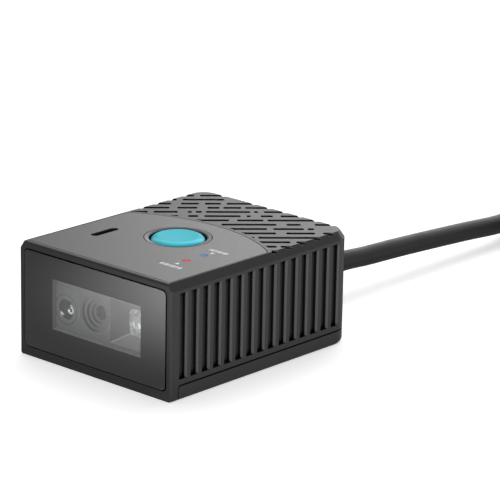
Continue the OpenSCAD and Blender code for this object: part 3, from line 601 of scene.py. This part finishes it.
class READER_OT_lead(Operator):
    """Lays the lead along its route and winds its spare length into a coil"""
    bl_idname = "reader.lead"
    bl_label = "Lay lead"

    def execute(self, context):
        lead = settings(context)[0]
        points = spline_points(LEAD_ROUTE, 8) + coil_points() + spline_points(TAIL_ROUTE, 8)
        curve = bpy.data.curves.new("lead", "CURVE")
        curve.dimensions = "3D"
        curve.bevel_depth = lead.diameter / 2
        curve.bevel_resolution = 7
        curve.use_fill_caps = True
        line = curve.splines.new("POLY")
        line.points.add(len(points) - 1)
        for spot, point in zip(line.points, points):
            spot.co = (*point, 1.0)
        line.use_smooth = True
        cord = bpy.data.objects.new("lead", curve)
        context.scene.collection.objects.link(cord)
        jacket = Finish("lead_jacket", lead.colour, 0.40, Specular_IOR_Level=0.22)
        jacket.mottle(0.009, 0.08)
        jacket.uneven_gloss(0.003, 0.36, 0.46)
        jacket.relief(jacket.noise(0.0006), 0.000008)
        curve.materials.append(jacket.mat)
        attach(cord, BODY)
        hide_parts("cord_lead", "cord_coil", "cord_tail")
        dress(jacket, "inner_lead", "cord_lead", "cord_coil", "cord_tail")
        dress(moulded("relief_rubber", lead.colour, 0.5, edge=0.0003), "strain_relief")
        return {"FINISHED"}


class READER_OT_housing(Operator):
    """Finishes the mouldings, the top panel and the button"""
    bl_idname = "reader.housing"
    bl_label = "Finish housing"

    def execute(self, context):
        finish = settings(context)[1]
        dress(self.shell(finish.housing), "main_housing", "bottom_cover")
        panel = moulded("panel_plastic", finish.panel, 0.38, grain=0.0002, depth=0.000002, edge=0.00012,
                        Specular_IOR_Level=0.66)
        dress(panel, "top_panel")
        dress(self.bezel(finish.panel), "button_bezel")
        dress(self.button(finish.button), "trigger_button")
        return {"FINISHED"}

    def shell(self, colour):
        """Black plastic with painted light: lighter on the faces toward the front and, as a painted
        highlight, on the rear bevel of each side slot; painted shade in the slots
        """
        frame_back = -0.0285
        shell = moulded("housing_plastic", colour, 0.40, grain=0.00025, edge=0.00018, Specular_IOR_Level=0.46)
        # Painted highlight on the rear bevel of each side slot, from behind the front frame on
        bevel_highlight = shell.ramp(shell.facing(FROM_SLOT), 0.9, 0.98)
        behind_frame = shell.ramp(shell.along(shell.place, "Y"), frame_back, frame_back + MM)
        shell.tint(shell.math("MULTIPLY", bevel_highlight, behind_frame), scaled(colour, 4.5))
        # Painted light on the faces toward the front
        shell.tint(shell.ramp(shell.facing(TO_FRONT), 0.9, 0.98), scaled(colour, 3.0))
        # Painted shade in the slots and grooves
        shell.paint_recess_shade(1.6 * MM, 0.1)
        return shell

    def bezel(self, colour):
        """A ring with painted light on its slope on the right, and painted shade in its gap, black and
        mirroring nothing, which shows most behind the button
        """
        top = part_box("button_bezel")[1].z
        lean = (0.4 * MM, -0.45 * MM, 0.0)
        bezel = moulded("bezel_plastic", colour, 0.36, depth=0.000002, edge=0.00012)
        # Painted light on the slope that faces left
        bezel.tint(bezel.ramp(bezel.facing(TO_LEFT), 0.05, 0.2), scaled(colour, 18.0))
        # Painted shade in the gap: its wall and the ring's inner edge, shifted toward the camera, turn black
        # metal
        wall = bezel.ramp(bezel.along(bezel.normal, "Z"), 0.3, 0.6, 1.0, 0.0)
        height = bezel.math("SUBTRACT", bezel.along(bezel.place, "Z"), bezel.facing(lean))
        inner_edge = bezel.ramp(height, top - 0.18 * MM, top - 0.13 * MM, 1.0, 0.0)
        gap = bezel.math("MAXIMUM", wall, inner_edge)
        bezel.tint(gap, scaled(colour, 0.1))
        bezel.join(gap, bezel.shader.inputs["Metallic"])
        return bezel

    def button(self, colour):
        """Satin plastic with a painted highlight: a lighter band along its rounded rim where it leans toward
        the camera
        """
        # Colour of the painted highlight on the rim
        light = (0.16, 0.62, 0.70, 1.0)
        button = moulded("button_plastic", colour, 0.5, depth=0.000002, edge=0.0002, Specular_IOR_Level=0.1)
        tilt = button.facing(TO_CAMERA)
        rim = button.math("MULTIPLY", button.ramp(tilt, 0.06, 0.22), button.ramp(tilt, 0.28, 0.50, 1.0, 0.0))
        button.tint(rim, light)
        return button


class READER_OT_marks(Operator):
    """Prints the marks beside the lamps"""
    bl_idname = "reader.marks"
    bl_label = "Print marks"

    def execute(self, context):
        finish = settings(context)[1]
        size, film = finish.mark_size, 0.03 * MM
        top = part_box("top_panel")[1].z + film / 2
        low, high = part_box("power_light_pipe")
        power = (low + high) / 2
        low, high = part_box("status_light_pipe")
        status = (low + high) / 2
        arrow = turned("arrow", [(size * 0.55, -film / 2), (size * 0.55, film / 2)], vertices=3)
        arrows = copies(arrow, [(0, 0, 0)])
        settle(arrows[0], (power.x, power.y - 3.1 * MM, top))
        settle(arrows[1], None, (0, 0, math.pi))
        settle(arrows[1], (status.x + 0.3 * MM, status.y + 2.6 * MM, top))
        wide, thin = 0.5 * MM, 0.25 * MM
        power_bars = (wide, thin, wide, thin, thin, wide, thin, thin, wide)
        status_bars = (thin, wide, thin, thin, wide, thin, wide, thin)
        lines = self.bars(power_bars, size, film, (power.x, power.y - 5.3 * MM, top))
        lines += self.bars(status_bars, size, film, (status.x + 0.6 * MM, status.y + 4.6 * MM, top))
        marks = join(arrows + lines, "panel_marks")
        ink = Finish("mark_ink", finish.marks, 0.6)
        ink.mottle(0.0004, 0.06)
        fit(marks, ink, "panel_plastic")
        return {"FINISHED"}

    def bars(self, widths, size, film, middle):
        """A printed row of upright bars"""
        gap = 0.4 * MM
        x, y, z = middle
        x -= (sum(widths) + gap * (len(widths) - 1)) / 2
        out = []
        for width in widths:
            out.append(block("bar", (width, size, film), (x + width / 2, y, z)))
            x += width + gap
        return out


class READER_OT_lamps(Operator):
    """Finishes the lamp windows"""
    bl_idname = "reader.lamps"
    bl_label = "Finish lamps"

    def execute(self, context):
        finish = settings(context)[1]
        for name, colour, node in (("power_lamp", finish.power, "power_light_pipe"),
                                   ("status_lamp", finish.status, "status_light_pipe")):
            lamp = Finish(name, colour, 0.4, Specular_IOR_Level=0.03, Emission_Strength=0.05,
                          Emission_Color=tuple(colour) + (1.0,))
            lamp.mottle(0.0006, 0.08)
            dress(lamp, node)
        return {"FINISHED"}


class READER_OT_window(Operator):
    """Finishes the front window, its printed mask and its seal"""
    bl_idname = "reader.window"
    bl_label = "Finish window"

    def execute(self, context):
        acrylic = clear("window_acrylic", (0.9, 0.91, 0.91), 0.0, 1.49, Coat_Weight=1.0, Coat_IOR=2.0,
                        Coat_Roughness=0.0)
        dress(acrylic, "front_window")
        dress(moulded("mask_print", (0.005, 0.005, 0.0052), 0.5, edge=0), "window_mask")
        foam = moulded("seal_foam", (0.012, 0.012, 0.012), 0.8, grain=0.0005, depth=0.00005, edge=0)
        dress(foam, "window_seal")
        return {"FINISHED"}


class READER_OT_engine(Operator):
    """Finishes the scan engine and models its lamp, its aimer lens and the fillet of the aimer's pocket"""
    bl_idname = "reader.engine"
    bl_label = "Finish scan engine"

    def execute(self, context):
        plastic = settings(context)[1].engine
        dress(self.face(plastic), "engine_shroud")
        dress(self.barrel(plastic), "lens_barrel")
        dress(clear("camera_glass", (0.5, 0.52, 0.6), 0.0, 1.6), "lens_glass")
        dress(moulded("led_resin", (0.8, 0.75, 0.5), 0.3), "illumination_led", "aimer_led", "indicator_leds")
        low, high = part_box("illumination_lens")
        middle = Vector(((low.x + high.x) / 2 - 0.6 * MM, low.y, (low.z + high.z) / 2 - 0.75 * MM))
        self.holder(plastic, middle)
        self.cup(plastic, middle)
        self.dome(middle)
        self.contacts(middle)
        self.aimer()
        self.pocket(plastic)
        return {"FINISHED"}

    def face(self, plastic):
        """Grey plastic, with painted shade on faces that turn to the right and painted light on faces that
        turn up
        """
        face = moulded("engine_face", plastic, 0.55, edge=0.00012)
        # Painted shade on faces that turn right, painted light on faces that turn up
        wall_shade = face.ramp(face.along(face.normal, "X"), 0.1, 0.5)
        ledge_light = face.ramp(face.along(face.normal, "Z"), 0.3, 0.6)
        shaded = face.blend(wall_shade, scaled(plastic, 1.0), scaled(plastic, 0.6))
        face.join(face.blend(ledge_light, shaded, scaled(plastic, 2.0)), face.shader.inputs["Base Color"])
        return face

    def barrel(self, plastic):
        """Grey plastic where it faces forward; the faces inside its bore, which don't, have painted shade,
        near black
        """
        barrel = moulded("barrel_plastic", scaled(plastic, 0.5)[:3], 0.5, edge=0.0001)
        # Painted shade: faces that don't face forward are near black
        bore_shade = barrel.ramp(barrel.along(barrel.normal, "Y"), -0.8, -0.3)
        shaded = barrel.blend(bore_shade, scaled(plastic, 1.0), scaled(plastic, 0.06))
        barrel.join(shaded, barrel.shader.inputs["Base Color"])
        return barrel

    def holder(self, plastic, middle):
        """A plate with a hole for the lamp and a groove around it"""
        x, front, z = middle
        forward, hole, outer, inner, floor = 0.12 * MM, 2.6 * MM, 3.8 * MM, 3.5 * MM, -0.05 * MM
        holder = block("lamp_holder", (9.4 * MM, 0.2 * MM, 10.6 * MM), (x, front - forward, z + 0.4 * MM))
        round_edges(holder, 0.06 * MM, 2)
        groove = [(outer, floor), (inner, floor), (inner, MM), (outer, MM), (outer, floor)]
        tools = [turned("hole", [(hole, -MM), (hole, MM)]), turned("groove", groove, hollow=True)]
        for tool in tools:
            settle(tool, (x, front - forward, z), (math.pi / 2, 0, 0))
            cut(holder, tool)
        smooth(holder)
        grey = moulded("lamp_holder", plastic, 0.55, edge=0.0001)
        # Painted shade in the groove and the hole, where ambient occlusion is low
        grey.paint_recess_shade(0.3 * MM, 0.4)
        fit(holder, grey, "engine_plastic")

    def cup(self, plastic, middle):
        """A black cup behind the holder's hole; its black is painted shade"""
        cup = turned("lamp_cup", [
            (2.48 * MM, 0), (1.5 * MM, 1.5 * MM), (0.5 * MM, 1.7 * MM), (0.6 * MM, 1.9 * MM),
            (1.6 * MM, 1.7 * MM), (2.6 * MM, 0.1 * MM), (2.48 * MM, 0)], hollow=True)
        settle(cup, middle, (-math.pi / 2, 0, 0))
        # Painted shade: the engine's plastic darkened to near black stands for the shade in the lamp's hole
        dark = Finish("lamp_cup", scaled(plastic, 0.02)[:3], 0.5)
        dark.uneven_gloss(0.0004, 0.4, 0.6)
        fit(cup, dark, "barrel_plastic")

    def dome(self, middle):
        """The lamp's clear dome in the cup"""
        radius, base = 0.8, 1.5
        profile = [(radius * MM, base * MM)]
        for angle in (0.3, 0.6, 0.9, 1.2, 1.5):
            profile.append((radius * MM * math.cos(angle), (base - radius * math.sin(angle)) * MM))
        dome = turned("lamp_dome", profile)
        settle(dome, middle, (-math.pi / 2, 0, 0))
        fit(dome, clear("lamp_dome", (0.95, 0.96, 0.96), 0.02, 1.3), "clear_lens", "illumination_lens")

    def contacts(self, middle):
        """An open ring and a post in the cup, whose faint white glow is a painted glint"""
        outer, inner, thick = 0.9 * MM, 0.5 * MM, 0.3 * MM
        ring = turned("lamp_ring", [
            (outer, 0), (inner, 0.1 * MM), (inner, thick), (outer, thick), (outer, 0)], hollow=True)
        cut(ring, block("gap", (1.2 * MM, 1.2 * MM, 2 * MM), (-0.7 * MM, -0.7 * MM, 0)))
        settle(ring, middle + Vector((1.2, 0.1, -0.1)) * MM, (-math.pi / 2, 0, 0))
        post = turned("lamp_post", [(0.75 * MM, 0), (0.75 * MM, 0.2 * MM)], vertices=3)
        settle(post, middle + Vector((-1.6, -0.1, -1.5)) * MM, (-math.pi / 2, 0.5, 0))
        bright = metal("lamp_contacts", (0.9, 0.9, 0.9), 0.25)
        # Painted glint: the metal glows faintly white
        bright.set("Emission Color", WHITE)
        bright.set("Emission Strength", 0.45)
        fit(join([ring, post], "lamp_contacts"), bright, "plug_steel")

    def aimer(self):
        """A block of clear resin with cut corners and a facetted face, with painted glints: cells in a band
        across its middle glow white
        """
        low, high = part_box("aimer_lens")
        low += Vector((-1.0, 0, -0.9)) * MM
        high += Vector((0, 0, -0.9)) * MM
        facet, glow_band = 1.0 * MM, 0.6 * MM
        crystal = block("aimer_crystal", high - low, (low + high) / 2)
        round_edges(crystal, 0.6 * MM, 1)
        pick_faces(crystal, lambda place, normal: normal.y < -0.9)
        bpy.ops.mesh.subdivide(number_cuts=4)
        bpy.ops.transform.vertex_random(offset=0.0004, seed=3)
        bpy.ops.object.mode_set(mode="OBJECT")
        resin = Finish("aimer_crystal", (0.5, 0.51, 0.51), 0.06, Specular_IOR_Level=0.9)
        # Painted glints: cells, brightest in a band across the middle, set the white glow
        cells = resin.node("ShaderNodeTexVoronoi", Scale=1 / facet)
        resin.join(resin.place, cells.inputs["Vector"])
        band = resin.node("ShaderNodeMath")
        band.operation = "COMPARE"
        band.inputs[1].default_value = low.z + 0.5 * (high.z - low.z)
        band.inputs[2].default_value = glow_band
        resin.join(resin.along(resin.place, "Z"), band.inputs[0])
        glow = resin.math("MULTIPLY", resin.ramp(cells.outputs["Color"], 0.3, 0.8, 0.1, 1.0),
                          resin.ramp(band.outputs[0], 0.0, 1.0, 0.25, 0.9))
        resin.set("Emission Color", WHITE)
        resin.join(glow, resin.shader.inputs["Emission Strength"])
        resin.mottle(0.0012, 0.5)
        fit(crystal, resin, "clear_lens", "aimer_lens")

    def pocket(self, plastic):
        """A fillet along the lower edge of the aimer's pocket, from its front corner to its rear one, whose
        lighter colour and faint glow are a painted highlight
        """
        start, end, radius = Vector((3.03, -28.8, 8.78)) * MM, Vector((4.45, -23.8, 10.05)) * MM, 0.25 * MM
        fillet = turned("pocket_fillet", [(radius, 0), (radius, (end - start).length)], vertices=12)
        settle(fillet, start, (end - start).to_track_quat("Z", "Y").to_euler())
        # Painted highlight: plastic two and a half times as light, with a faint white glow
        light = moulded("pocket_fillet", scaled(plastic, 2.5)[:3], 0.5, edge=0,
                        Emission_Color=WHITE, Emission_Strength=0.06)
        fit(fillet, light, "engine_plastic")


class READER_OT_boards(Operator):
    """Finishes the boards and what stands on them"""
    bl_idname = "reader.boards"
    bl_label = "Finish boards"

    def execute(self, context):
        resist, track = (0.012, 0.09, 0.04, 1), (0.03, 0.15, 0.07, 1)
        board = Finish("board_laminate", resist[:3], 0.35, Coat_Weight=0.3)
        tracks = board.ramp(board.noise(0.0012, 1.0, (1, 0.2, 1)), 0.48, 0.52)
        board.join(board.blend(tracks, resist, track), board.shader.inputs["Base Color"])
        dress(board, "top_board", "engine_board", "main_board")
        dress(moulded("chip_epoxy", (0.02, 0.02, 0.022), 0.5),
              "tact_switch", "buzzer", "image_sensor", "decoder_chip")
        dress(moulded("socket_nylon", (0.6, 0.58, 0.5), 0.5),
              "switch_plunger", "cable_connector", "ribbon_socket")
        dress(moulded("ribbon_film", (0.4, 0.14, 0.03), 0.3), "engine_ribbon", "panel_ribbon")
        dress(metal("board_screw_zinc", (0.55, 0.55, 0.56), 0.3),
              "top_board_screws", "engine_screws", "main_board_screws")
        return {"FINISHED"}


class READER_OT_screws(Operator):
    """Models the cover's screws with their cross recess"""
    bl_idname = "reader.screws"
    bl_label = "Model cover screws"

    def execute(self, context):
        low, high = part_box("cover_screws")
        head, shank, rise = 0.0017, 0.0009, 0.0012
        slot_length, slot_width, slot_depth = 0.0021, 0.0005, 0.0014
        length = high.z - low.z - rise
        screw = turned("cover_screw_1", [
            (shank * 0.5, -length), (shank, -length + 0.0008), (shank, 0), (head, 0), (head, rise * 0.6),
            (head * 0.9, rise * 0.9), (head * 0.7, rise)])
        sizes = (slot_width, slot_length, slot_depth), (slot_length, slot_width, slot_depth)
        slots = [block("slot", size, (0, 0, rise)) for size in sizes]
        for slot in slots:
            pick_faces(slot, lambda place, normal: normal.z < -0.9)
            bpy.ops.transform.resize(value=(0.6, 0.6, 1), center_override=(0, 0, rise))
            bpy.ops.object.mode_set(mode="OBJECT")
            cut(screw, slot)
        smooth(screw)
        settle(screw, None, (math.pi, 0, 0))
        left, right, front, rear = low.x + head, high.x - head, low.y + head, high.y - head
        settle(screw, (left, front, low.z + rise))
        across, back = right - left, rear - front
        screws = copies(screw, [(across, 0, 0), (0, back, 0), (across, back, 0)])
        steel = metal("cover_screw_zinc", (0.45, 0.45, 0.46), 0.3)
        for i, piece in enumerate(screws):
            piece.name = piece.data.name = "cover_screw_%d" % (i + 1)
            fit(piece, steel, "screw_steel", "cover_screws")
        return {"FINISHED"}


class READER_OT_inserts(Operator):
    """Models the threaded mounting inserts"""
    bl_idname = "reader.inserts"
    bl_label = "Model inserts"

    def execute(self, context):
        low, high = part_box("mount_inserts")
        outer, major, minor, pitch = 0.0022, 0.0015, 0.00126, 0.0005
        length, lead_in = high.z - low.z, 0.0003
        profile = [(outer, 0), (outer * 0.8, 0), (major, lead_in)]
        z = lead_in
        while z + pitch < length:
            profile += [(minor, z + pitch / 2), (major, z + pitch)]
            z += pitch
        profile += [(major, length), (outer, length), (outer, 0)]
        insert = turned("mount_insert_1", profile, hollow=True)
        settle(insert, (low.x + outer, (low.y + high.y) / 2, low.z))
        pair = copies(insert, [(high.x - low.x - 2 * outer, 0, 0)])
        brass = metal("insert_brass", (0.62, 0.43, 0.16), 0.3, (1, 1, 6))
        for i, piece in enumerate(pair):
            piece.name = piece.data.name = "mount_insert_%d" % (i + 1)
            fit(piece, brass, "insert_brass", "mount_inserts")
        return {"FINISHED"}


class READER_OT_stage(Operator):
    """Sets the floor, the even light and the lamps"""
    bl_idname = "reader.stage"
    bl_label = "Set stage"

    def execute(self, context):
        stage = settings(context)[2]
        deselect()
        bpy.ops.mesh.primitive_plane_add(size=6, location=(0, 0, -0.00005))
        floor = begin("floor")
        settle(floor)
        floor.data.materials.append(self.paper(stage).mat)
        self.sky(context, stage.sky)
        self.lamp("top_lamp", stage.top, *TOP_LAMP)
        self.lamp("back_lamp", stage.back, *BACK_LAMP)
        self.lamp("side_lamp", stage.side, *SIDE_LAMP)
        context.scene.view_settings.view_transform = "Standard"
        return {"FINISHED"}

    def paper(self, stage):
        """Floor paper. Mirrored in the reader, it shows painted light in place of its shading: painted shade
        in front on the left, with a soft painted glow.
        """
        dark_x, light_x, dark, light = 0.015, 0.045, 0.23, 0.9
        glow_radius, glow_y = 0.095, -0.132
        paper = Finish("floor_paper", stage.floor, 0.9, Specular_IOR_Level=0.1)
        paper.mottle(0.3, 0.005)
        path = paper.node("ShaderNodeLightPath")
        paper.set("Emission Color", WHITE)
        lift = paper.ramp(path.outputs["Is Camera Ray"], 0, 1, 0, stage.lift)
        paper.join(lift, paper.shader.inputs["Emission Strength"])
        # Painted reflection: rays that mirror the floor see this painted shade to the left and the painted
        # glow added to it
        even = paper.ramp(paper.along(paper.place, "X"), dark_x, light_x, dark, light)
        spot = paper.node("ShaderNodeMapping", Location=(0, -glow_y / glow_radius, 0),
                          Scale=(1 / glow_radius,) * 3)
        paper.join(paper.place, spot.inputs["Vector"])
        ball = paper.node("ShaderNodeTexGradient")
        ball.gradient_type = "QUADRATIC_SPHERE"
        paper.join(spot.outputs["Vector"], ball.inputs["Vector"])
        glow = paper.ramp(ball.outputs["Fac"], 0, 1, 0, stage.glow)
        mirrored = paper.node("ShaderNodeEmission")
        paper.join(paper.math("ADD", even, glow), mirrored.inputs["Strength"])
        by_mirror = paper.math("MAXIMUM", path.outputs["Is Glossy Ray"], path.outputs["Is Transmission Ray"])
        mix = paper.node("ShaderNodeMixShader")
        paper.join(by_mirror, mix.inputs[0])
        paper.join(paper.shader.outputs[0], mix.inputs[1])
        paper.join(mirrored.outputs[0], mix.inputs[2])
        paper.join(mix.outputs[0], paper.nodes["Material Output"].inputs["Surface"])
        return paper

    def sky(self, context, strength):
        """An even sky that the camera sees as white"""
        world = bpy.data.worlds.new("studio")
        context.scene.world = world
        world.use_nodes = True
        nodes, links = world.node_tree.nodes, world.node_tree.links
        even = nodes["Background"]
        even.inputs["Color"].default_value = WHITE
        even.inputs["Strength"].default_value = strength
        white = nodes.new("ShaderNodeBackground")
        white.inputs["Color"].default_value = WHITE
        path = nodes.new("ShaderNodeLightPath")
        mix = nodes.new("ShaderNodeMixShader")
        links.new(path.outputs["Is Camera Ray"], mix.inputs[0])
        links.new(even.outputs[0], mix.inputs[1])
        links.new(white.outputs[0], mix.inputs[2])
        links.new(mix.outputs[0], nodes["World Output"].inputs["Surface"])

    def lamp(self, name, power, place, size):
        deselect()
        bpy.ops.object.light_add(type="AREA", location=place)
        lamp = bpy.context.object
        lamp.name = name
        lamp.data.energy = power
        lamp.data.shape = "RECTANGLE"
        lamp.data.size, lamp.data.size_y = size
        lamp.rotation_euler = (-Vector(place)).to_track_quat("-Z", "Y").to_euler()


class READER_PT_panel(Panel):
    """Steps that finish the reader"""
    bl_idname = "READER_PT_panel"
    bl_label = "Barcode reader"
    bl_space_type = "VIEW_3D"
    bl_region_type = "UI"
    bl_category = "Reader"

    def draw(self, context):
        for group in settings(context):
            box = self.layout.box()
            for name in group.__annotations__:
                box.prop(group, name)
        for step in STEPS:
            self.layout.operator(step.bl_idname)


STEPS = (READER_OT_camera, READER_OT_plug, READER_OT_tie, READER_OT_lead, READER_OT_housing,
         READER_OT_marks, READER_OT_lamps, READER_OT_window, READER_OT_engine, READER_OT_boards,
         READER_OT_screws, READER_OT_inserts, READER_OT_stage)
GROUPS = (LeadSettings, FinishSettings, StageSettings)


def register():
    for cls in GROUPS + STEPS + (READER_PT_panel,):
        bpy.utils.register_class(cls)
    bpy.types.Scene.reader_lead = PointerProperty(type=LeadSettings)
    bpy.types.Scene.reader_finish = PointerProperty(type=FinishSettings)
    bpy.types.Scene.reader_stage = PointerProperty(type=StageSettings)


def unregister():
    del bpy.types.Scene.reader_stage
    del bpy.types.Scene.reader_finish
    del bpy.types.Scene.reader_lead
    for cls in reversed(GROUPS + STEPS + (READER_PT_panel,)):
        bpy.utils.unregister_class(cls)


def main():
    register()
    bpy.ops.reader.camera()
    bpy.ops.reader.plug()
    bpy.ops.reader.tie()
    bpy.ops.reader.lead()
    bpy.ops.reader.housing()
    bpy.ops.reader.marks()
    bpy.ops.reader.lamps()
    bpy.ops.reader.window()
    bpy.ops.reader.engine()
    bpy.ops.reader.boards()
    bpy.ops.reader.screws()
    bpy.ops.reader.inserts()
    bpy.ops.reader.stage()


if __name__ == "__main__":
    main()
